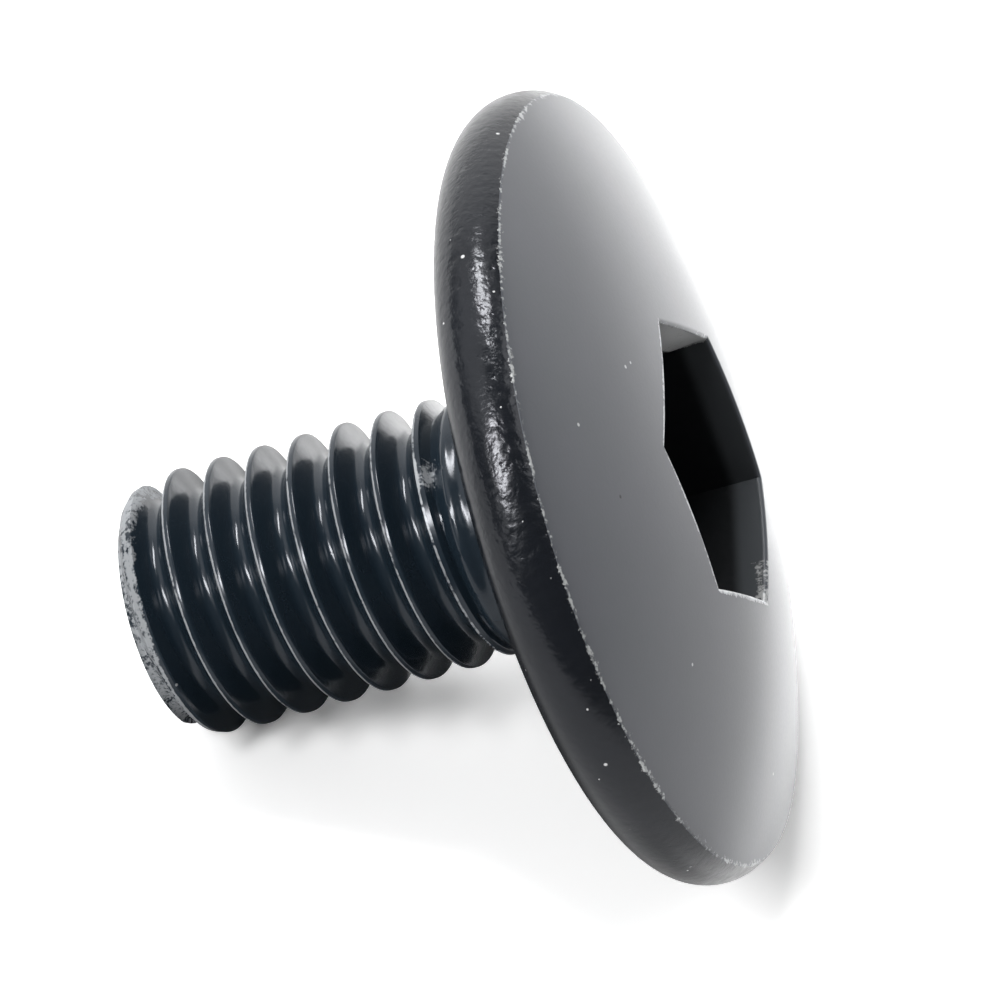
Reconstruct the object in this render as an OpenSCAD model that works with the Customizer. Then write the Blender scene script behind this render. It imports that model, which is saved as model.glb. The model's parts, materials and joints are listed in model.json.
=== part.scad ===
// Machine screw with a wide, low domed head and a hexagon socket.
// It is shaped upright, bearing face at z = 0 and thread pointing down, and then laid
// down as it rests: on the rounded rim of the head and on the edge of the thread's tip.

/* [Head] */
// Diameter of the head across its rounded rim
head_d = 18; // [16:0.1:20]
// Height of the dome's crown over the bearing face, as if it closed over the socket
head_h = 3.5; // [3.3:0.05:4]
// Height over the bearing face of the crisp edge between rim and dome
edge_h = 1.8; // [1.4:0.05:2]
// Radius of the rounded rim, tangent to the bearing face
rim_r = 1.1; // [1:0.05:1.3]

/* [Socket] */
// Width of the hexagon socket across its flats
socket_af = 6; // [5:0.1:6.2]
// Depth of the socket's straight walls below the dome's crown
socket_depth = 2.6; // [2.2:0.05:2.9]
// Depth of the shallow cone in the socket's floor
cone_h = 0.6; // [0.3:0.05:0.9]
// Diameter of the small flat at the bottom of that cone
cone_d = 1; // [0.5:0.1:2]
// Size of the small bevel around the socket's mouth
mouth_bevel = 0.12; // [0.05:0.01:0.2]
// Turn of the socket's corners from the lowest side of the screw, in degrees
socket_turn = 31.4; // [0:0.1:60]

/* [Shank] */
// Length from the bearing face to the tip
shank_l = 10; // [8:0.5:16]
// Diameter of the plain neck under the head
neck_d = 5.8; // [5.5:0.05:5.9]
// Length of the plain neck
neck_l = 1.8; // [1.2:0.1:3]
// Radius of the fillet between neck and bearing face
fillet_r = 0.25; // [0.1:0.05:0.5]

/* [Thread] */
// Outer diameter of the thread
thread_d = 6; // [5.9:0.02:6.1]
// Distance from one crest to the next, right-handed
pitch = 1; // [0.8:0.05:1.1]
// Diameter of the flat end face inside the tip's chamfer
end_d = 5.1; // [5:0.05:5.4]
// Length over which the groove fades out towards the neck
run_out = 0.8; // [0.5:0.1:1.2]
// Place of the first crest from the tip on the lowest side, in pitches
crest_lead = 0.89; // [0.55:0.01:1.5]

/* [Hidden] */
$fn = 96;
// sides around the thread, the overlap between solids, and a small ledge where they meet
sides = 40;
lap = 0.1;
ledge = 0.06;
// the least distance of a thread corner from the end face
clear = pitch / 50;
// the most of a flank that a crest corner may slide along on the tip's chamfer
slide_share = 0.45;
// head: edge radius on the rim's circle, and the dome's radius through edge and crown
rim_c = head_d / 2 - rim_r;
edge_r = rim_c + sqrt(rim_r * rim_r - (edge_h - rim_r) * (edge_h - rim_r));
dome_h = head_h - edge_h;
dome_r = (edge_r * edge_r + dome_h * dome_h) / (2 * dome_h);
neck_r = neck_d / 2;
// thread section: flat crest an eighth of the pitch wide, flanks sixty degrees apart
half_a = 30;
depth_share = 0.6134;
crest_r = thread_d / 2;
root_r = crest_r - depth_share * pitch;
crest_w = pitch / 8;
flank_l = (crest_r - root_r) * tan(half_a);
end_r = end_d / 2;
top_z = -neck_l + lap;
steps = [-crest_w / 2 - flank_l, -crest_w / 2 - flank_l / 2, -crest_w / 2,
         crest_w / 2, crest_w / 2 + flank_l / 2, crest_w / 2 + flank_l];
mid_r = (crest_r + root_r) / 2;
radii = [root_r, mid_r, crest_r, crest_r, mid_r, root_r];
per = len(steps);

function clamp01(v) = max(0, min(1, v));
// tilt of the axis when the rim and a point r toward the lowest side at height z share the floor
function lean(r, z) = let (dx = rim_c - r, dz = rim_r - z)
    atan(dx / dz) + asin(rim_r / sqrt(dx * dx + dz * dz));
// how far the groove has faded at height z
function fade(z) = clamp01((z + neck_l + run_out) / run_out);
// largest and smallest radius of the thread at height z
function ceiling(z) = min(crest_r + (neck_r - ledge - crest_r) * fade(z),
                          end_r + max(0, z + shank_l));
function groove(z) = root_r + (neck_r - 2 * ledge - root_r) * fade(z);
// column i, corner m: height along the thread, counted from below the tip
function corner_z(i, m) = -shank_l + (crest_lead - 2 + i / sides + floor(m / per)) * pitch
    + steps[m % per];
// a crest corner on the chamfer slides up to where the chamfer meets the flank
function slid(z, m) = m % per == 3
    ? z + min(slide_share * flank_l, (crest_r - ceiling(z)) / (1 + 1 / tan(half_a))) : z;
function corner(i, m) = let (z = corner_z(i, m), y = z < -shank_l / 2 ? slid(z, m) : z)
    [min(max(radii[m % per], groove(y)), ceiling(y)), y];
// radius of the thread's own section on the end face in column i
function end_at(i) = let (c = (crest_lead - 1 + i / sides) * pitch,
                          u = abs(c - pitch * round(c / pitch)))
    min(end_r, max(root_r, crest_r - (u - crest_w / 2) / tan(half_a)));
function place(i, rz) = [rz[0] * cos(360 * i / sides), rz[0] * sin(360 * i / sides), rz[1]];
// first and last corner of a column that lie clear of the end face and of the column's top
all_m = [for (m = [0 : ceil((shank_l / pitch + 3) * per)]) m];
first_m = [for (i = [0 : sides - 1])
    min([for (m = all_m) if (corner_z(i, m) > -shank_l + clear) m])];
last_m = [for (i = [0 : sides - 1])
    max([for (m = all_m) if (corner_z(i, m) < top_z - clear) m])];
start = [for (i = 0, s = 0; i < sides; s = s + last_m[i] - first_m[i] + 3, i = i + 1) s];
columns = [for (i = [0 : sides - 1]) each concat(
    [place(i, [end_at(i), -shank_l])],
    [for (m = [first_m[i] : last_m[i]]) place(i, corner(i, m))],
    [place(i, [neck_r - 2 * ledge, top_z])])];
// number of a point; column "sides" is column 0 again, one turn further on
function low(i) = i < sides ? first_m[i] : first_m[0] - per;
function high(i) = i < sides ? last_m[i] : last_m[0] - per;
function rim(i) = start[i % sides];
function at(i, m) = i < sides ? start[i] + 1 + m - first_m[i]
                              : start[0] + 1 + m + per - first_m[0];
function cap(i) = at(i, high(i)) + 1;
walls = [for (i = [0 : sides - 1]) let (j = i + 1, a = low(i), b = high(j)) each concat(
    [[rim(i), at(j, low(j)), rim(j)]],
    [for (m = [low(j) : 1 : a - 1]) [rim(i), at(j, m + 1), at(j, m)]],
    [[rim(i), at(i, a), at(j, a)]],
    [for (m = [a : 1 : b - 1]) each [[at(i, m), at(i, m + 1), at(j, m + 1)],
                                     [at(i, m), at(j, m + 1), at(j, m)]]],
    [for (m = [b : 1 : high(i) - 1]) [at(i, m), at(i, m + 1), cap(j)]],
    [[at(j, b), at(i, b), cap(j)]],
    [[at(i, high(i)), cap(i), cap(j)]])];
ends = [[for (i = [0 : sides - 1]) rim(i)], [for (i = [sides - 1 : -1 : 0]) cap(i)]];
// rest: the rim's circle and the first point of the thread's tip share the floor
tip = [for (i = [0 : sides - 1]) let (c = cos(360 * i / sides)) each concat(
    [[end_at(i) * c, -shank_l]],
    [for (m = [first_m[i] : first_m[i] + 2 * per]) let (p = corner(i, m)) [p[0] * c, p[1]]])];
tilt = min([for (p = tip) lean(p[0], p[1])]);
lift = rim_c * cos(tilt) - rim_r * sin(tilt) + rim_r;
low_x = min([for (p = tip) p[1] * cos(tilt) + p[0] * sin(tilt)]);
high_x = edge_h * cos(tilt) + edge_r * sin(tilt);

// half section of head and neck: under the dome, inside the rim, down to the neck's end
module section() {
    intersection() {
        translate([0, head_h - dome_r]) circle(r = dome_r);
        union() {
            square([rim_c, head_h + lap]);
            translate([rim_c, rim_r]) circle(r = rim_r);
        }
    }
    translate([0, -neck_l]) square([neck_r, neck_l + lap]);
    difference() {
        translate([neck_r - lap, -fillet_r]) square([fillet_r + lap, fillet_r + lap]);
        translate([neck_r + fillet_r, -fillet_r]) circle(r = fillet_r);
    }
}

module socket() {
    floor_z = head_h - socket_depth;
    corner_r = socket_af / 2 / cos(30);
    mouth_z = head_h - dome_r + sqrt(dome_r * dome_r - socket_af * socket_af / 4);
    bevel_z = mouth_z - mouth_bevel;
    bevel_h = head_h + lap - bevel_z;
    rotate([0, 0, socket_turn]) {
        translate([0, 0, floor_z]) cylinder(r = corner_r, h = socket_depth + lap, $fn = 6);
        translate([0, 0, bevel_z])
            cylinder(r1 = corner_r, r2 = corner_r + bevel_h, h = bevel_h, $fn = 6);
    }
    translate([0, 0, floor_z - cone_h])
        cylinder(r1 = cone_d / 2, r2 = socket_af / 2 - ledge, h = cone_h);
}

module upright() {
    difference() {
        union() {
            rotate_extrude() section();
            polyhedron(points = columns, faces = concat(walls, ends), convexity = 10);
        }
        socket();
    }
}

module screw() {
    color([0.09, 0.1, 0.11])
        translate([-(low_x + high_x) / 2, 0, lift])
            rotate([0, 90 - tilt, 0]) upright();
}

screw();
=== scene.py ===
import json
import math

import bmesh
import bpy
from mathutils import Matrix, Quaternion, Vector

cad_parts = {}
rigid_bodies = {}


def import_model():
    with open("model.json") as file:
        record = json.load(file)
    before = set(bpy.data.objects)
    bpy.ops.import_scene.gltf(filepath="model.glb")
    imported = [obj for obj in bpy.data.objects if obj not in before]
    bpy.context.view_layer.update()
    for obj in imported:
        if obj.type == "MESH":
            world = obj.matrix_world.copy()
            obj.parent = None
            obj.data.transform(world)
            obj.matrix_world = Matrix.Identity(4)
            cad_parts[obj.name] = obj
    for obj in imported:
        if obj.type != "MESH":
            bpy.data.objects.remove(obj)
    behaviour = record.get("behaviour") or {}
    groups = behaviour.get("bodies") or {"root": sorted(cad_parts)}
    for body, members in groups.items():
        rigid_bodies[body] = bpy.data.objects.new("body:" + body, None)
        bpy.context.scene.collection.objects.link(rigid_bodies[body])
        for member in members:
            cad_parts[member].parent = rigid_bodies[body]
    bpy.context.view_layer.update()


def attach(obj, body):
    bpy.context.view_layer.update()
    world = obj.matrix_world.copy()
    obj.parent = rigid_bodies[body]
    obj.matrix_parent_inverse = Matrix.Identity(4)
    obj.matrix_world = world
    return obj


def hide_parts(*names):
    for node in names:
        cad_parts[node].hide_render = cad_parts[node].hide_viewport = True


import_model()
mm = 0.001

# The screw is shaped upright in millimetres, bearing face at z = 0 and thread pointing down,
# and is laid down at the end: its axis rises by the tilt from the tip to the head.
rest = {
    "tilt": 30.6428,       # degrees
    "lift": 7.3362,
    "shift": 1.9212,
}

# Lathe sections are drawn as a chain of vertices in the plane y = 0.


def startAt(bm, radius, height):
    return bm.verts.new((radius, 0, height))


def lineTo(bm, last, radius, height, parts=1):
    step = (Vector((radius, 0, height)) - last.co) / parts
    for _ in range(parts):
        made = bmesh.ops.extrude_vert_indiv(bm, verts=[last])["verts"][0]
        made.co = last.co + step
        last = made
    return last


def arcTo(bm, last, centre, degrees, parts):
    # a positive turn goes from outward to upward
    made = bmesh.ops.spin(bm, geom=[last], cent=(centre[0], 0, centre[1]), axis=(0, -1, 0),
                          angle=math.radians(degrees), steps=parts)
    return made["geom_last"][0]


def polar(vert):
    return math.hypot(vert.co.x, vert.co.y), math.atan2(vert.co.y, vert.co.x)


def placeAt(vert, radius, angle, height):
    vert.co = (radius * math.cos(angle), radius * math.sin(angle), height)


def smooth(start, end, value):
    share = min(1, max(0, (value - start) / (end - start)))
    return share * share * (3 - 2 * share)


# Head and neck: one lathe section, then rings that turn from a circle into the hexagon.
head = {
    "diameter": 17.99,     # a hair under the part's 18, to stay inside its box
    "crown": 3.5,          # height of the dome over the bearing face, as if it closed
    "edgeHeight": 1.8,     # the crisp edge between rim and dome
    "edgeRound": 0.12,
    "rimRadius": 1.1,
    "columns": 192,        # a multiple of six, so the socket's corners fall on columns
    "bearingSteps": 12,
    "rimSteps": 26,
    "edgeSteps": 5,
    "domeSteps": 16,
    "blendRadius": 4.4,    # inside this circle the rings turn into hexagons
    "blendShares": (0.3, 0.55, 0.75, 0.9, 0.97, 1.0),
    "rimFrom": 0.02,       # how far outside the crisp edge the rim's finish starts
    "crisp": 32,           # edges that bend more than these degrees are shaded crisp
}
socket = {
    "acrossFlats": 6.0,
    "depth": 2.6,
    "turn": 31.4,          # corners, from the lowest side of the screw
    "mouthRound": 0.08,
    "mouthTurns": (22.5, 45, 67.5, 90),
    "mouthFoot": 0.05,     # from the end of that rounding to the wall's first ring
    "mouthFinish": 0.05,   # depth under the dome at which the socket's finish starts
    "wallRings": (3.0, 2.88, 2.76, 2.64, 2.52, 2.4, 2.28, 1.3),
    "lastRing": 0.04,      # height of the wall's last ring over the floor
    "wallBetween": (2.6, 3.6),   # circles inside and outside all of the walls
    "wallOver": 1.5,       # height over which a wall shows
    "floorRadius": 2.9,
    "floorRing": (0.05, 0.01),   # inward and down: the ring that keeps the floor's edge crisp
    "coneDepth": 0.6,
    "coneRadius": 0.5,
    "bruised": (91.4, 151.4),    # the key has pressed in the wall between these corners
    "bruise": 0.26,
    "bruiseFrom": 0.1,     # depth under the dome at which it starts,
    "bruiseDepth": 0.8,    # over which it grows,
    "bruiseStop": 2.34,    # and height at which the wall steps back
    "bruiseFlat": 0.4,     # the smaller, the flatter across the wall
}
shank = {
    "length": 9.995,       # likewise, for the part's 10
    "neckRadius": 2.9,
    "neckLength": 2.02,
    "neckSteps": 6,
    "waist": 0.07,         # the neck is a little slimmer than the last turn
    "waistFrom": (-2.0, -1.7),   # heights over which it grows slim and stout again
    "waistTo": (-0.25, -0.5),
    "waistReach": 0.05,    # only up to this far outside the neck
    "fillet": 0.25,
    "filletSteps": 6,
    "seam": -1.3,          # height where the thread's mesh meets the neck's
    "seamGap": 0.05,
}


def domeHeight(radius):
    return head["crown"] - domeRadius + math.sqrt(domeRadius ** 2 - radius ** 2)


def hexRadius(apothem, angle):
    turned = (angle - math.radians(socket["turn"])) % math.radians(60)
    return apothem / math.cos(turned - math.radians(30))


def onWall(radius, height):
    inner, outer = socket["wallBetween"]
    return inner < radius < outer and height > socket["wallOver"]


def nextRing(bm, edges, place):
    made = bmesh.ops.extrude_edge_only(bm, edges=edges)["geom"]
    for vert in made:
        if isinstance(vert, bmesh.types.BMVert):
            radius, angle = polar(vert)
            placeAt(vert, *place(radius, angle))
    return [e for e in made if isinstance(e, bmesh.types.BMEdge) and e.is_boundary]


rimCentre = (head["diameter"] / 2 - head["rimRadius"], head["rimRadius"])
edgeRadius = rimCentre[0] + math.sqrt(head["rimRadius"] ** 2
                                      - (head["edgeHeight"] - head["rimRadius"]) ** 2)
domeRise = head["crown"] - head["edgeHeight"]
domeRadius = (edgeRadius ** 2 + domeRise ** 2) / (2 * domeRise)
domeCentre = (0.0, head["crown"] - domeRadius)


def roundedEdge():
    # centre of the small circle that touches the rim's circle and the dome's from inside
    a, b = head["rimRadius"] - head["edgeRound"], domeRadius - head["edgeRound"]
    base = Vector((rimCentre[0] - domeCentre[0], rimCentre[1] - domeCentre[1]))
    reach = base.length
    along = (b * b - a * a + reach * reach) / (2 * reach)
    side = math.sqrt(b * b - along * along)
    unit = base / reach
    centre = Vector(domeCentre) + unit * along + Vector((unit.y, -unit.x)) * side
    fromRim = centre - Vector(rimCentre)
    fromDome = centre - Vector(domeCentre)
    return centre, math.atan2(fromRim.y, fromRim.x), math.atan2(fromDome.y, fromDome.x)


def makeHead():
    bm = bmesh.new()
    edgeCentre, rimAngle, domeAngle = roundedEdge()
    neck, fillet = shank["neckRadius"], shank["fillet"]
    last = startAt(bm, neck, shank["seam"] + shank["seamGap"])
    last = lineTo(bm, last, neck, -fillet, shank["neckSteps"])
    last = arcTo(bm, last, (neck + fillet, -fillet), -90, shank["filletSteps"])
    last = lineTo(bm, last, rimCentre[0], 0, head["bearingSteps"])
    last = arcTo(bm, last, rimCentre, 90 + math.degrees(rimAngle), head["rimSteps"])
    last = arcTo(bm, last, edgeCentre, math.degrees(domeAngle - rimAngle), head["edgeSteps"])
    domeStop = math.acos(head["blendRadius"] / domeRadius)
    arcTo(bm, last, domeCentre, math.degrees(domeStop - domeAngle), head["domeSteps"])
    toCorner = Matrix.Rotation(math.radians(socket["turn"]), 3, "Z")
    bmesh.ops.rotate(bm, verts=bm.verts, matrix=toCorner)
    bmesh.ops.spin(bm, geom=bm.verts[:] + bm.edges[:], cent=(0, 0, 0), axis=(0, 0, 1),
                   angle=2 * math.pi, steps=head["columns"], use_merge=True)
    ring = [e for e in bm.edges if e.is_boundary and e.verts[0].co.z > 0]
    makeSocket(bm, ring)
    pressWall(bm)
    return bm


def makeSocket(bm, ring):
    half, rounding = socket["acrossFlats"] / 2, socket["mouthRound"]

    def onDome(share, angle):
        outline = hexRadius(half + rounding, angle)
        radius = head["blendRadius"] + (outline - head["blendRadius"]) * share
        return radius, angle, domeHeight(radius)

    def rolled(bend, angle):
        top = domeHeight(hexRadius(half + rounding, angle))
        return (hexRadius(half + rounding * (1 - math.sin(bend)), angle), angle,
                top - rounding * (1 - math.cos(bend)))

    for share in head["blendShares"]:
        ring = nextRing(bm, ring, lambda r, a, s=share: onDome(s, a))
    for turn in socket["mouthTurns"]:
        ring = nextRing(bm, ring, lambda r, a, t=math.radians(turn): rolled(t, a))
    under = rounding + socket["mouthFoot"]
    ring = nextRing(bm, ring, lambda r, a: (r, a, domeHeight(r) - under))
    floorHeight = head["crown"] - socket["depth"]
    for height in (*socket["wallRings"], floorHeight + socket["lastRing"], floorHeight):
        ring = nextRing(bm, ring, lambda r, a, h=height: (r, a, h))
    inward, down = socket["floorRing"]
    for radius, height in ((socket["floorRadius"], floorHeight),
                           (socket["floorRadius"] - inward, floorHeight - down),
                           (socket["coneRadius"], floorHeight - socket["coneDepth"])):
        ring = nextRing(bm, ring, lambda _, a, r=radius, h=height: (r, a, h))
    bmesh.ops.edgeloop_fill(bm, edges=ring)


def pressWall(bm):
    # the worn wall leans in from the mouth, and steps back under the bruise
    first, last = socket["bruised"]
    for vert in bm.verts:
        radius, angle = polar(vert)
        height = vert.co.z
        share = (math.degrees(angle) - first) / (last - first)
        down = domeHeight(radius) - socket["bruiseFrom"] - height
        pressed = onWall(radius, height) and down > 0 and height > socket["bruiseStop"]
        if pressed and 0 < share < 1:
            across = math.sin(math.pi * share) ** socket["bruiseFlat"]
            press = socket["bruise"] * min(1, down / socket["bruiseDepth"]) * across
            placeAt(vert, radius - press, angle, height)


# Thread: one axial section, spun once while it climbs by one pitch.
thread = {
    "radius": 3.0,
    "pitch": 1.0,
    "depth": 0.6134,
    "flankAngle": 60,
    "crestFlat": 0.125,    # width of the crest as a share of the pitch
    "rootRound": 0.22,
    "crestRound": 0.045,
    "rootSteps": 4,
    "flankSteps": 6,
    "crestSteps": 3,
    "lead": 0.89,          # first crest over the tip on the lowest side, in pitches
    "endRadius": 2.545,    # flat end face inside the chamfer
    "knee": 0.26,          # over this the chamfer turns less steep, up to the first full crest
    "kneeSlope": 0.28,
    "dishRadius": 1.95,
    "dish": 0.1,
    "dishRings": ((0.15, 0), (0, 0.4), (-0.3, 1)),   # out from that radius, share of the depth
    "runOut": 0.8,
    "columns": 192,
    "firstTurn": -2,
    "lastTurn": 8,
    "weld": 0.001,         # points of neighbouring turns closer than this are one
    "cutSlack": 0.00001,
}


def fade(height):
    return min(1, max(0, (height + shank["neckLength"] + thread["runOut"]) / thread["runOut"]))


def ceiling(height):
    up = max(0, height + shank["length"])
    knee = thread["knee"] + thread["kneeSlope"] * (up - thread["knee"])
    full = thread["radius"] + (shank["neckRadius"] - thread["radius"]) * fade(height)
    return min(thread["endRadius"] + min(up, knee), full)


def groove(height):
    root = thread["radius"] - thread["depth"] * thread["pitch"]
    return root + (shank["neckRadius"] - root) * fade(height)


def makeThread():
    bm = bmesh.new()
    wear = bm.verts.layers.float.new("wear")
    top, bottom = thread["radius"], thread["radius"] - thread["depth"] * thread["pitch"]
    rootRound, crestRound = thread["rootRound"], thread["crestRound"]
    bend, lean = thread["flankAngle"], math.radians(thread["flankAngle"] / 2)
    half = thread["pitch"] / 2
    crestHalf = thread["crestFlat"] * half
    trim = crestRound * math.tan(lean)
    firstCrest = -shank["length"] + thread["lead"] * thread["pitch"]
    last = startAt(bm, bottom, firstCrest + thread["firstTurn"] * thread["pitch"] - half)
    rubbedVerts = set()    # the crest's edge on the tip's side keeps less coat
    for turn in range(thread["firstTurn"], thread["lastTurn"] + 1):
        middle = firstCrest + turn * thread["pitch"]
        low, high = middle - crestHalf, middle + crestHalf
        last = arcTo(bm, last, (bottom + rootRound, middle - half), -bend, thread["rootSteps"])
        last = lineTo(bm, last, top - trim * math.cos(lean), low - trim / 2, thread["flankSteps"])
        before = len(bm.verts)
        last = arcTo(bm, last, (top - crestRound, low + trim), bend, thread["crestSteps"])
        rubbedVerts.update(range(before - 1, len(bm.verts)))
        last = lineTo(bm, last, top, middle)
        last = lineTo(bm, last, top, high - trim)
        last = arcTo(bm, last, (top - crestRound, high - trim), bend, thread["crestSteps"])
        last = lineTo(bm, last, bottom + rootRound / 2,
                      middle + half - rootRound * math.cos(lean), thread["flankSteps"])
        last = arcTo(bm, last, (bottom + rootRound, middle + half), -bend, thread["rootSteps"])
    bm.verts.index_update()
    for vert in bm.verts:
        vert[wear] = vert.index in rubbedVerts
    steps = thread["columns"]
    bmesh.ops.spin(bm, geom=bm.verts[:] + bm.edges[:], cent=(0, 0, 0), axis=(0, 0, 1),
                   dvec=(0, 0, thread["pitch"] / steps), angle=2 * math.pi, steps=steps)
    bmesh.ops.remove_doubles(bm, verts=bm.verts, dist=thread["weld"])

    def cutAt(height, **clear):
        bmesh.ops.bisect_plane(bm, geom=bm.verts[:] + bm.edges[:] + bm.faces[:],
                               dist=thread["cutSlack"], plane_co=(0, 0, height),
                               plane_no=(0, 0, 1), **clear)
    end = -shank["length"]
    cutAt(end, clear_inner=True)
    cutAt(end + thread["knee"])
    cutAt(shank["seam"], clear_outer=True)
    for vert in bm.verts:
        radius, angle = polar(vert)
        radius = min(max(radius, groove(vert.co.z)), ceiling(vert.co.z))
        placeAt(vert, radius, angle, vert.co.z)
    tip = [e for e in bm.edges if e.is_boundary and e.verts[0].co.z < end / 2]
    for outward, share in thread["dishRings"]:
        radius, height = thread["dishRadius"] + outward, end + share * thread["dish"]
        tip = nextRing(bm, tip, lambda _, a, r=radius, h=height: (r, a, h))
    bmesh.ops.edgeloop_fill(bm, edges=tip)
    return bm


# Rubbed places. A level of about 1 leaves half of the coat, under 0.6 all of it.
# Where a level falls, it does so per millimetre, or smoothly between from and to.
worn = {
    "crests": {"level": 1.24, "nearHead": 1.12, "from": -5, "to": -2.4},
    "tip": {"level": 1.04, "band": 0.58, "from": -0.06, "to": 0.14, "cleanInside": 0.2},
    "edge": {"level": 1.02, "fall": 5},
    # a thin line round the socket, away from the two walls below
    "mouth": {"level": 1.12, "fall": 1.3, "width": 0.06, "depth": 0.14, "slack": 0.01},
    "bruise": {"level": 1.3, "fade": 0.2, "topLevel": 0.7, "rise": 5},
    # the wall beside the socket's lowest corner
    "corner": {"between": (-28.6, -8), "level": 0.97, "fall": 0.9, "from": 0.15, "to": 0.7},
    # a rough patch on the last crest, so many degrees wide and millimetres tall
    "scar": {"angle": -168, "height": -2.4, "wide": 8, "tall": 0.2,
             "level": 1.0, "fall": 0.3, "from": 0.2, "to": 1.3},
}


def rub(vert, level):
    radius, angle = polar(vert)
    degrees, height = math.degrees(angle), vert.co.z
    crests, tip, edge, scar = worn["crests"], worn["tip"], worn["edge"], worn["scar"]
    towardHead = smooth(crests["from"], crests["to"], height)
    level *= crests["level"] + (crests["nearHead"] - crests["level"]) * towardHead
    if height < -shank["length"] / 2:
        over = height + shank["length"] - tip["band"]
        level = max(level, tip["level"] * (1 - smooth(tip["from"], tip["to"], over)))
        if radius < thread["endRadius"] - tip["cleanInside"]:
            level = 0
    away = math.hypot(radius - edgeRadius, height - head["edgeHeight"])
    level = max(level, edge["level"] - edge["fall"] * away)
    if onWall(radius, height):
        level = rubWall(radius, angle, domeHeight(radius) - height, level)
    away = math.hypot((degrees - scar["angle"]) / scar["wide"],
                      (height - scar["height"]) / scar["tall"])
    if radius < thread["radius"] and away < scar["to"]:
        fallen = scar["fall"] * smooth(scar["from"], scar["to"], away)
        level = max(level, scar["level"] - fallen)
    return level


def rubWall(radius, angle, below, level):
    degrees = math.degrees(angle)
    mouth, bruise, corner = worn["mouth"], worn["bruise"], worn["corner"]
    first, last = socket["bruised"]
    start, end = corner["between"]
    outline = socket["acrossFlats"] / 2 + socket["mouthRound"] + mouth["slack"]
    aside = radius - hexRadius(outline, angle)
    if below < mouth["depth"] and aside < mouth["width"] and not start < degrees < last:
        level = mouth["level"] - mouth["fall"] * max(0, aside)
    if first < degrees < last and aside < 0:
        depth = socket["bruiseDepth"]
        level = bruise["level"] * (1 - smooth(depth, depth + bruise["fade"], below))
        level = min(level, bruise["topLevel"] + bruise["rise"] * below)
    if start < degrees < end and aside < 0:
        fallen = corner["fall"] * smooth(corner["from"], corner["to"], below)
        level = max(level, corner["level"] - fallen)
    return level


zones = ("dome", "rim", "thread", "socket")


def zoneOf(face):
    middle = face.calc_center_median()
    radius = math.hypot(middle.x, middle.y)
    if middle.z < shank["seam"]:
        return zones.index("thread")
    if radius > edgeRadius + head["rimFrom"] or middle.z < 0:
        return zones.index("rim")
    if middle.z > domeHeight(radius) - socket["mouthFinish"]:
        return zones.index("dome")
    return zones.index("socket" if radius < socket["wallBetween"][1] else "rim")


def makeScrew():
    bm = makeHead()
    print("head and neck:", len(bm.faces), "faces")
    threadMesh = makeThread()
    print("thread:", len(threadMesh.faces), "faces")
    shape = bpy.data.meshes.new("threadShape")
    threadMesh.to_mesh(shape)
    threadMesh.free()
    wear = bm.verts.layers.float.new("wear")
    bm.from_mesh(shape)
    bpy.data.meshes.remove(shape)
    seam = [e for e in bm.edges if e.is_boundary]
    bmesh.ops.bridge_loops(bm, edges=seam)
    bmesh.ops.recalc_face_normals(bm, faces=bm.faces)
    for vert in bm.verts:
        vert[wear] = rub(vert, vert[wear])
        radius, angle = polar(vert)
        height = vert.co.z
        slim = smooth(*shank["waistFrom"], height) * smooth(*shank["waistTo"], height)
        if slim and radius < shank["neckRadius"] + shank["waistReach"]:
            placeAt(vert, radius - shank["waist"] * slim, angle, height)
    for face in bm.faces:
        face.smooth = True
        face.material_index = zoneOf(face)
    lay = (Matrix.Translation((rest["shift"], 0, rest["lift"]))
           @ Matrix.Rotation(math.radians(90 - rest["tilt"]), 4, "Y"))
    bmesh.ops.transform(bm, matrix=Matrix.Scale(mm, 4) @ lay, verts=bm.verts)
    mesh = bpy.data.meshes.new("screwBody")
    bm.to_mesh(mesh)
    bm.free()
    mesh.set_sharp_from_angle(angle=math.radians(head["crisp"]))
    piece = bpy.data.objects.new("screwBody", mesh)
    bpy.context.scene.collection.objects.link(piece)
    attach(piece, "root")
    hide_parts("screw")
    return piece


screwBody = makeScrew()
print("screw body:", len(screwBody.data.polygons), "faces")


# Materials

eased = {"interpolation_type": "SMOOTHSTEP"}


def toLinear(text):
    parts = [int(text[i:i + 2], 16) / 255 for i in (1, 3, 5)]
    return [p / 12.92 if p <= 0.04045 else ((p + 0.055) / 1.055) ** 2.4 for p in parts] + [1]


def addNode(tree, kind, settings=None, links=None):
    node = tree.nodes.new("ShaderNode" + kind)
    for name, value in (settings or {}).items():
        if isinstance(name, str) and hasattr(node, name):
            setattr(node, name, value)
        else:
            node.inputs[name].default_value = value
    for name, source in (links or {}).items():
        output = source.outputs[0] if isinstance(source, bpy.types.Node) else source
        tree.links.new(output, node.inputs[name])
    return node


def newTree(name):
    material = bpy.data.materials.new(name)
    material.use_nodes = True
    material.node_tree.nodes.clear()
    return material, material.node_tree


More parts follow.
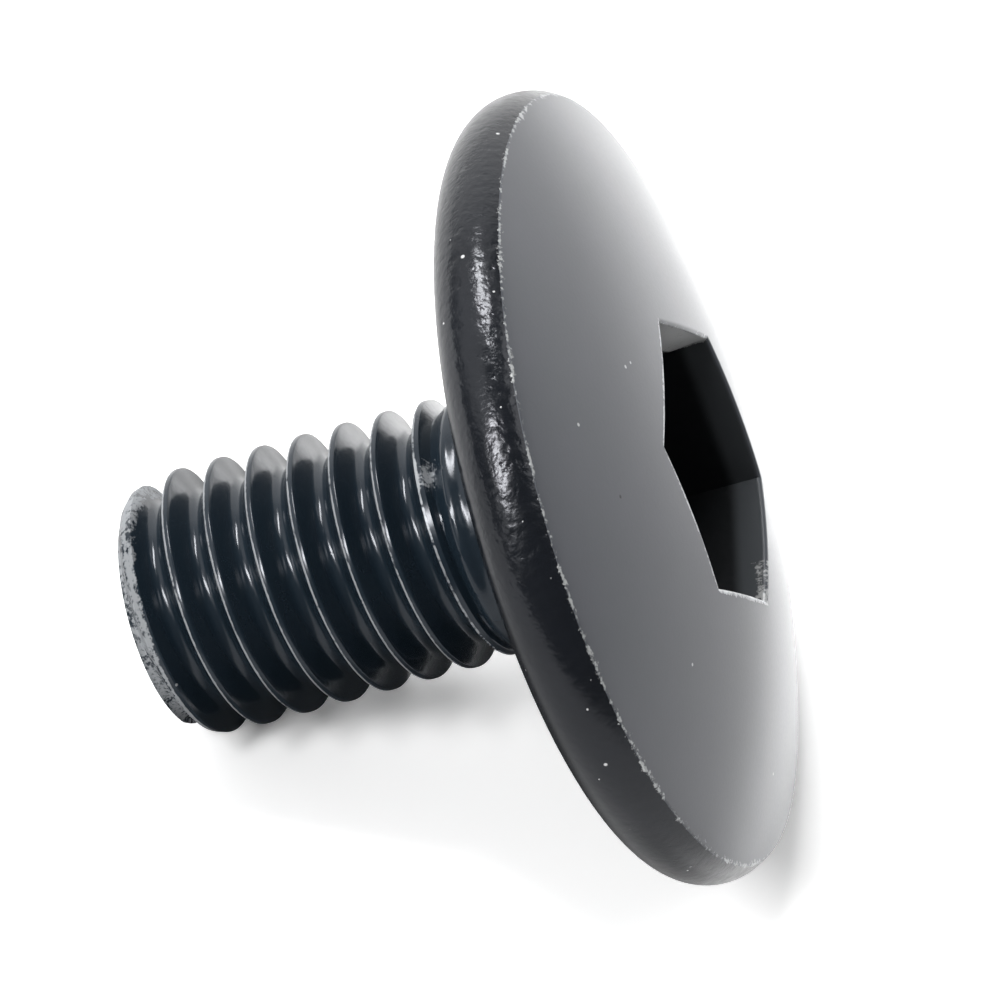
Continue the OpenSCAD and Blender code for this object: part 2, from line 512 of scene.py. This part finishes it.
# Every finish on the screw is the same black coat on steel. What differs is how the steel
# under it was made: stamped dome, rolled rim, rolled thread, broached socket.
# Sizes are in millimetres. The break-up is how strongly noise tears the edge of a worn place.
# Pits and specks lie one to a cell: the pit's share is its width in the cell, the speck's is
# how many cells stay clean. A mark is radius, angle, height, size and tone of one speck.
domeCoat = {
    "coat": "#474b4e", "coatPale": "#4e4f56",     # dull and dusty, a dark grey to the eye
    "bare": "#b4b6b6", "breakUp": 1.9,
    "roughness": 0.31, "roughnessSpread": 0.01,
    "grain": 0.09, "grainDepth": 0.0012,
    "speck": 0.9, "speckSize": 0.026, "speckShare": 0.86,
    "marks": ((4.71, -170.6, 3.02, 0.05, 1), (4.49, -173.3, 3.06, 0.04, 1),
              (6.9, -151.6, 2.46, 0.05, 1), (5.84, -94.4, 2.76, 0.045, 1),
              (5.99, -137.0, 2.72, 0.05, 0)),
}
rimCoat = {
    "coat": "#0a0d11", "coatPale": "#15181e",     # glossy black with a fine orange peel
    "bare": "#cfd0d0", "breakUp": 2.2,
    "roughness": 0.22, "roughnessSpread": 0.04,
    "grain": 0.22, "grainDepth": 0.02,
    "pit": 0.3, "pitShare": 0.5, "pitDepth": 0.01,
    "speck": 0.42, "speckSize": 0.022, "speckShare": 0.64,
    "marks": ((9.0, -177.6, 1.04, 0.055, 1), (8.9, 156.0, 1.55, 0.05, 1),
              (9.0, -100.2, 1.14, 0.05, 1)),
}
threadCoat = {
    "coat": "#151e26", "coatPale": "#1d272f",     # satin blue-black
    "bare": "#94979a", "breakUp": 1.6,
    "roughness": 0.17, "roughnessSpread": 0.04,
    "grain": 0.16, "grainDepth": 0.0009,
    "pit": 0.35, "pitShare": 0.3, "pitDepth": 0.002,
    "speck": 0.9, "speckSize": 0.03, "speckShare": 0.7,
    "marks": (),
}
socketCoat = {
    "coat": "#0c0d0f", "coatPale": "#16181a",     # dull black, greyer where the key rubs, and with painted shade: paler near the mouth, black deeper in
    "bare": "#a8a9a9", "breakUp": 1.3,
    "roughness": 0.34, "roughnessSpread": 0.05,
    "grain": 0.12, "grainDepth": 0.001,
    "pit": 0.3, "pitShare": 0.3, "pitDepth": 0.001,
    "speck": 0.9, "speckSize": 0.03, "speckShare": 0.9,
    "marks": (),
}
# what all four share
coat = {
    "cloud": 2.0,                  # size of the soft clouds between the two tones of the coat
    "grainSpan": {"From Min": 0.3, "From Max": 0.7},
    "strewn": 3,                   # how far the specks stray, in their own size
    "speckEdge": 1.5,              # a speck fades out at this many times its size
    "markCore": 0.6,               # and a mark starts to at this share of its size
    "dark": "#101012",             # a mark of tone 0
    "sheen": "#f3f5fb",            # the gloss is a touch cool
}
bareSteel = {
    "roughness": 0.4,
    "metallic": 0.35,      # oiled and grubby, so it shines less than clean steel
    "patch": 0.13,         # length of a worn patch
    "gap": 0.8,            # distance between the longer breaks
    "gapShare": 0.7,       # how much those count
    "start": 1.25,         # level at which steel shows
    "soft": 0.22,
}
# painted shade in the socket: its coat is this paler grey near the mouth and fades to black
# deeper in, where shade falls
socketPaintedShade = {"colour": "#3d4043", "reach": {"From Min": 2.42, "From Max": 2.75}}
# How deep the rim's orange peel is along each axis of the upright screw, in millimetres.
peel = {
    # smoother toward the underside
    "Z": {"From Min": 0.1, "From Max": 0.8, "To Min": 0.25, "To Max": 1},
    # on the far side
    "Y": {"From Min": 1.5, "From Max": 6, "To Min": 1, "To Max": 0.3},
    # and where the rim comes down to the floor
    "X": {"From Min": -6.6, "From Max": -3, "To Min": 1, "To Max": 0.3},
}


def blackCoatedSteel(name, look):
    material, tree = newTree(name)
    place = addNode(tree, "TexCoord")
    upright = addNode(tree, "Mapping", {
        "vector_type": "TEXTURE",
        "Location": (rest["shift"] * mm, 0, rest["lift"] * mm),
        "Rotation": (0, math.radians(90 - rest["tilt"]), 0),
        "Scale": (mm, mm, mm)}, {"Vector": place.outputs["Object"]})
    cloudy = addNode(tree, "TexNoise", {
        "Scale": 1 / coat["cloud"], "Detail": 4, "Roughness": 0.6}, {"Vector": upright})
    grain = addNode(tree, "TexNoise", {
        "Scale": 1 / look["grain"], "Detail": 2, "Roughness": 0.5}, {"Vector": upright})
    colour = addNode(tree, "Mix", {
        "data_type": "RGBA", 6: toLinear(look["coat"]), 7: toLinear(look["coatPale"])},
        {0: cloudy}).outputs[2]
    axes = addNode(tree, "SeparateXYZ", links={0: upright})
    # painted shade: the socket's coat is paler near the mouth and black deeper in
    if look is socketCoat:
        mouth = addNode(tree, "MapRange", {**eased, **socketPaintedShade["reach"]},
                        {"Value": axes.outputs["Z"]})
        colour = addNode(tree, "Mix", {"data_type": "RGBA", 7: toLinear(socketPaintedShade["colour"])},
                         {0: mouth, 6: colour}).outputs[2]
    rough = addNode(tree, "MapRange", {
        **coat["grainSpan"], "To Min": look["roughness"] - look["roughnessSpread"],
        "To Max": look["roughness"] + look["roughnessSpread"]}, {"Value": grain})

    # where the coat is rubbed through to steel: the mesh says how much, noise breaks it up
    wear = addNode(tree, "Attribute", {"attribute_name": "wear"})
    patches = addNode(tree, "TexNoise", {
        "Scale": 1 / bareSteel["patch"], "Detail": 4, "Roughness": 0.7}, {"Vector": upright})
    gaps = addNode(tree, "TexNoise", {"Scale": 1 / bareSteel["gap"], "Detail": 1},
                   {"Vector": upright})
    broken = addNode(tree, "Math", {"operation": "MULTIPLY_ADD", 1: look["breakUp"]},
                     {0: patches, 2: wear.outputs["Fac"]})
    level = addNode(tree, "Math", {"operation": "MULTIPLY_ADD", 1: bareSteel["gapShare"]},
                    {0: gaps, 2: broken})
    start = bareSteel["start"] + look["breakUp"] / 2
    bare = addNode(tree, "MapRange", {"From Min": start, "From Max": start + bareSteel["soft"]},
                   {"Value": level})

    # small bright specks of dust or bare steel, strewn, and a few in their own places
    stray = (coat["strewn"] * look["speckSize"],) * 3
    strewn = addNode(tree, "VectorMath", {"operation": "MULTIPLY_ADD", 1: stray},
                     {0: patches.outputs["Color"], 2: upright})
    dots = addNode(tree, "TexVoronoi", {"Scale": 1 / look["speck"]}, {"Vector": strewn})
    size = look["speckSize"] / look["speck"]
    dot = addNode(tree, "MapRange", {
        "From Min": size, "From Max": coat["speckEdge"] * size, "To Min": 1, "To Max": 0},
        {"Value": dots.outputs["Distance"]})
    chosen = addNode(tree, "Math", {"operation": "GREATER_THAN", 1: look["speckShare"]},
                     {0: dots.outputs["Color"]})
    bright = addNode(tree, "Math", {"operation": "MULTIPLY"}, {0: dot, 1: chosen})
    bare = addNode(tree, "Math", {"operation": "MAXIMUM"}, {0: bare, 1: bright})
    for radius, angle, height, spread, tone in look["marks"]:
        turn = math.radians(angle)
        spot = (radius * math.cos(turn), radius * math.sin(turn), height)
        away = addNode(tree, "VectorMath", {"operation": "DISTANCE", 1: spot}, {0: upright})
        mark = addNode(tree, "MapRange", {
            "From Min": coat["markCore"] * spread, "From Max": spread, "To Min": 1, "To Max": 0},
            {"Value": away.outputs["Value"]})
        if tone:
            bare = addNode(tree, "Math", {"operation": "MAXIMUM"}, {0: bare, 1: mark})
        else:
            colour = addNode(tree, "Mix", {"data_type": "RGBA", 7: toLinear(coat["dark"])},
                             {0: mark, 6: colour}).outputs[2]

    uneven = {}
    if look is rimCoat:
        shares = [addNode(tree, "MapRange", {**eased, **span}, {"Value": axes.outputs[axis]})
                  for axis, span in peel.items()]
        strong = addNode(tree, "Math", {"operation": "MULTIPLY"}, {0: shares[0], 1: shares[1]})
        strong = addNode(tree, "Math", {"operation": "MULTIPLY"}, {0: strong, 1: shares[2]})
        uneven = {"Strength": strong}
    bump = addNode(tree, "Bump", {"Strength": 1, "Distance": look["grainDepth"] * mm},
                   {"Height": grain, **uneven})
    if "pit" in look:
        # uneven pits: the grain bends the cells out of round, and their colour sets the depth
        bent = addNode(tree, "VectorMath", {"operation": "MULTIPLY_ADD", 1: (look["pit"],) * 3},
                       {0: grain.outputs["Color"], 2: upright})
        pits = addNode(tree, "TexVoronoi", {"Scale": 1 / look["pit"]}, {"Vector": bent})
        hollow = addNode(tree, "MapRange", {
            **eased, "From Min": 0, "From Max": look["pitShare"], "To Min": -1, "To Max": 0},
            {"Value": pits.outputs["Distance"]})
        pitShape = addNode(tree, "Math", {"operation": "MULTIPLY"},
                           {0: hollow, 1: pits.outputs["Color"]})
        bump = addNode(tree, "Bump", {"Strength": 1, "Distance": look["pitDepth"] * mm},
                       {"Height": pitShape, "Normal": bump, **uneven})

    finalColour = addNode(tree, "Mix", {"data_type": "RGBA", 7: toLinear(look["bare"])},
                          {0: bare, 6: colour})
    finalRough = addNode(tree, "Mix", {"data_type": "FLOAT", 3: bareSteel["roughness"]},
                         {0: bare, 2: rough})
    metal = addNode(tree, "Math", {"operation": "MULTIPLY", 1: bareSteel["metallic"]}, {0: bare})
    shader = addNode(tree, "BsdfPrincipled", {"Specular Tint": toLinear(coat["sheen"])}, {
        "Base Color": finalColour.outputs[2], "Roughness": finalRough,
        "Metallic": metal, "Normal": bump})
    addNode(tree, "OutputMaterial", links={"Surface": shader})
    return material


coats = {"dome": domeCoat, "rim": rimCoat, "thread": threadCoat, "socket": socketCoat}
for zone in zones:
    finish = blackCoatedSteel("blackCoatedSteel" + zone.capitalize(), coats[zone])
    screwBody.data.materials.append(finish)
print("finishes:", len(screwBody.data.materials))


# Floor, lamps and camera

# The floor is white paper. Camera rays see it lighter than its own colour, so that it reads
# white.
# Mirrored rays see painted reflections and painted shade on it, in metres from the middle of the
# floor.
floorSet = {
    "size": 3.0,
    "colour": "#f2f2f2",
    "seenLift": 0.62,      # more of the same light for camera rays, so that the paper reads white
    # painted reflections, which only mirrored rays see:
    # for mirrored rays, lighter toward the back and right, where the photo is lightest
    "brightWay": 36,
    "brightSpread": {"From Min": 0.85, "From Max": 0.99},
    "brightFade": {"From Min": 0.02, "From Max": 0.08, "To Min": 0.88, "To Max": 0.1},
    # and right beside the head, where the dome's far edge fades to white: also painted reflection
    "beside": (0.0075, 0.0018, 0),
    "besideShape": (1, 0.45, 1),
    "besideFade": {"From Min": 0.0015, "From Max": 0.0075, "To Min": 1.85, "To Max": 0},
    "besideOnly": {"From Min": 0.005, "From Max": 0.0075},
    # painted shade for mirrored rays: darker right under the thread, and somewhat in front of the
    # screw
    "under": (-0.0025, -0.0005, 0),
    "underFade": {"From Min": 0.005, "From Max": 0.012, "To Min": 0.9, "To Max": 0},
    "frontFade": {"From Min": -0.008, "From Max": -0.002, "To Min": 0.35, "To Max": 0},
    # far from the screw the paper runs into the white backdrop
    "backdrop": {"From Min": 0.03, "From Max": 0.2},
}


def direction(azimuth, height):
    # azimuth 0 is +Y, the way the camera looks, and grows toward +X
    a, h = math.radians(azimuth), math.radians(height)
    return Vector((math.sin(a) * math.cos(h), math.cos(a) * math.cos(h), math.sin(h)))


def whitePaper():
    material, tree = newTree("whitePaper")
    place = addNode(tree, "TexCoord").outputs["Object"]
    axes = addNode(tree, "SeparateXYZ", links={0: place})
    far = addNode(tree, "VectorMath", {"operation": "LENGTH"}, {0: place}).outputs["Value"]
    path = addNode(tree, "LightPath")

    # lighter places: painted reflections for mirrored rays, and more of the same light for camera
    # rays
    ways = addNode(tree, "VectorMath", {"operation": "NORMALIZE"}, {0: place})
    bright = direction(floorSet["brightWay"], 0)
    along = addNode(tree, "VectorMath", {"operation": "DOT_PRODUCT", 1: bright}, {0: ways})
    toward = addNode(tree, "MapRange", {**eased, **floorSet["brightSpread"]},
                     {"Value": along.outputs["Value"]})
    fading = addNode(tree, "MapRange", {**eased, **floorSet["brightFade"]}, {"Value": far})
    toward = addNode(tree, "Math", {"operation": "MULTIPLY"}, {0: toward, 1: fading})
    squeezed = addNode(tree, "VectorMath", {"operation": "MULTIPLY", 1: floorSet["besideShape"]},
                       {0: place})
    near = addNode(tree, "VectorMath", {"operation": "DISTANCE", 1: floorSet["beside"]},
                   {0: squeezed})
    beside = addNode(tree, "MapRange", {**eased, **floorSet["besideFade"]},
                     {"Value": near.outputs["Value"]})
    outside = addNode(tree, "MapRange", {**eased, **floorSet["besideOnly"]},
                      {"Value": axes.outputs["X"]})
    beside = addNode(tree, "Math", {"operation": "MULTIPLY"}, {0: beside, 1: outside})
    toward = addNode(tree, "Math", {"operation": "ADD"}, {0: toward, 1: beside})
    paintedReflection = addNode(tree, "Math", {"operation": "MULTIPLY"},
                       {0: path.outputs["Is Glossy Ray"], 1: toward})
    lift = addNode(tree, "Math", {"operation": "MULTIPLY_ADD", 1: floorSet["seenLift"]},
                   {0: path.outputs["Is Camera Ray"], 2: paintedReflection})

    # darker places: painted shade, which only mirrored rays see
    under = addNode(tree, "VectorMath", {"operation": "DISTANCE", 1: floorSet["under"]},
                    {0: place})
    shade = addNode(tree, "MapRange", {**eased, **floorSet["underFade"]},
                    {"Value": under.outputs["Value"]})
    front = addNode(tree, "MapRange", {**eased, **floorSet["frontFade"]},
                    {"Value": axes.outputs["Y"]})
    shade = addNode(tree, "Math", {"operation": "MAXIMUM"}, {0: shade, 1: front})
    paintedShade = addNode(tree, "Math", {"operation": "MULTIPLY"},
                     {0: path.outputs["Is Glossy Ray"], 1: shade})

    colour = addNode(tree, "Mix", {
        "data_type": "RGBA", 6: toLinear(floorSet["colour"]), 7: toLinear("#000000")},
        {0: paintedShade})
    paper = addNode(tree, "BsdfDiffuse", links={"Color": colour.outputs[2]})
    more = addNode(tree, "BsdfDiffuse", links={"Color": lift})
    lit = addNode(tree, "AddShader", links={0: paper, 1: more})
    away = addNode(tree, "MapRange", {**eased, **floorSet["backdrop"]}, {"Value": far})
    seen = addNode(tree, "Math", {"operation": "MULTIPLY"},
                   {0: path.outputs["Is Camera Ray"], 1: away})
    backdrop = addNode(tree, "Emission", {"Color": toLinear("#ffffff")}, {"Strength": seen})
    whole = addNode(tree, "AddShader", links={0: lit, 1: backdrop})
    addNode(tree, "OutputMaterial", links={"Surface": whole})
    return material


def makeFloor():
    bm = bmesh.new()
    bmesh.ops.create_grid(bm, x_segments=1, y_segments=1, size=floorSet["size"] / 2)
    mesh = bpy.data.meshes.new("floor")
    bm.to_mesh(mesh)
    bm.free()
    floor = bpy.data.objects.new("floor", mesh)
    bpy.context.scene.collection.objects.link(floor)
    mesh.materials.append(whitePaper())


# Two softboxes, each with a brighter middle, and a side light: angles and sizes in degrees.
lamps = {
    "overhead": {"azimuth": -28, "height": 64, "width": 44, "tall": 22, "radiance": 0.5},
    "overheadCore": {"azimuth": -38, "height": 62, "width": 9, "tall": 26, "radiance": 25},
    "window": {"azimuth": -128, "height": 37, "width": 20, "tall": 52, "radiance": 1.0},
    "windowCore": {"azimuth": -127, "height": 45, "width": 10, "tall": 24, "radiance": 25},
    "side": {"azimuth": 84, "height": 60, "width": 40, "tall": 34, "radiance": 1.8},
}
lampPlace = {"distance": 0.6, "aimHeight": 0.008}


def makeLamp(name, spec):
    distance = lampPlace["distance"]
    data = bpy.data.lights.new(name, "AREA")
    data.shape = "RECTANGLE"
    data.size = 2 * distance * math.tan(math.radians(spec["width"] / 2))
    data.size_y = 2 * distance * math.tan(math.radians(spec["tall"] / 2))
    data.energy = spec["radiance"] * math.pi * data.size * data.size_y
    lamp = bpy.data.objects.new(name, data)
    bpy.context.scene.collection.objects.link(lamp)
    way = direction(spec["azimuth"], spec["height"])
    lamp.location = way * distance + Vector((0, 0, lampPlace["aimHeight"]))
    lamp.rotation_euler = (-way).to_track_quat("-Z", "Y").to_euler()


# The room is dim, with three pale walls. The camera sees it white.
room = {
    "dim": 0.12,
    "walls": ({"azimuth": -5, "height": 0, "start": 0.45, "full": 0.88, "radiance": 1.15},
              {"azimuth": -78, "height": 36, "start": 0.85, "full": 0.97, "radiance": 0.9},
              {"azimuth": 54, "height": -20, "start": 0.8, "full": 0.93, "radiance": 2.0}),
}


def makeRoom():
    world = bpy.data.worlds.new("room")
    bpy.context.scene.world = world
    world.use_nodes = True
    tree = world.node_tree
    tree.nodes.clear()
    way = addNode(tree, "TexCoord")
    total = None
    for wall in room["walls"]:
        toWall = direction(wall["azimuth"], wall["height"])
        facing = addNode(tree, "VectorMath", {"operation": "DOT_PRODUCT", 1: toWall},
                         {0: way.outputs["Generated"]})
        bright = addNode(tree, "MapRange", {
            **eased, "From Min": wall["start"], "From Max": wall["full"],
            "To Max": wall["radiance"]}, {"Value": facing.outputs["Value"]})
        before = {0: total} if total else {}
        total = addNode(tree, "Math", {"operation": "ADD", 0: room["dim"]},
                        {**before, 1: bright})
    path = addNode(tree, "LightPath")
    strength = addNode(tree, "Mix", {"data_type": "FLOAT", 3: 1.0},
                       {0: path.outputs["Is Camera Ray"], 2: total})
    glow = addNode(tree, "Background", {"Color": toLinear("#ffffff")}, {"Strength": strength})
    addNode(tree, "OutputWorld", links={"Surface": glow})


# in millimetres and degrees, and the clip range in metres
view = {
    "location": (-25.358, -139.241, 176.077),
    "aim": (0.2291, 0.1389, 7.1944),
    "roll": 12.521,
    "lens": 360.555,
    "clip": (0.01, 10),
}


def makeCamera():
    data = bpy.data.cameras.new("camera")
    data.lens = view["lens"]
    data.clip_start, data.clip_end = view["clip"]
    camera = bpy.data.objects.new("camera", data)
    bpy.context.scene.collection.objects.link(camera)
    location, aim = Vector(view["location"]) * mm, Vector(view["aim"]) * mm
    roll = Quaternion((0, 0, 1), math.radians(view["roll"]))
    camera.location = location
    camera.rotation_euler = ((aim - location).to_track_quat("-Z", "Y") @ roll).to_euler()
    bpy.context.scene.camera = camera


makeFloor()
for name, spec in lamps.items():
    makeLamp(name, spec)
makeRoom()
makeCamera()
bpy.context.scene.view_settings.view_transform = "Standard"
print("stage: floor,", len(lamps), "lamps, room and camera")
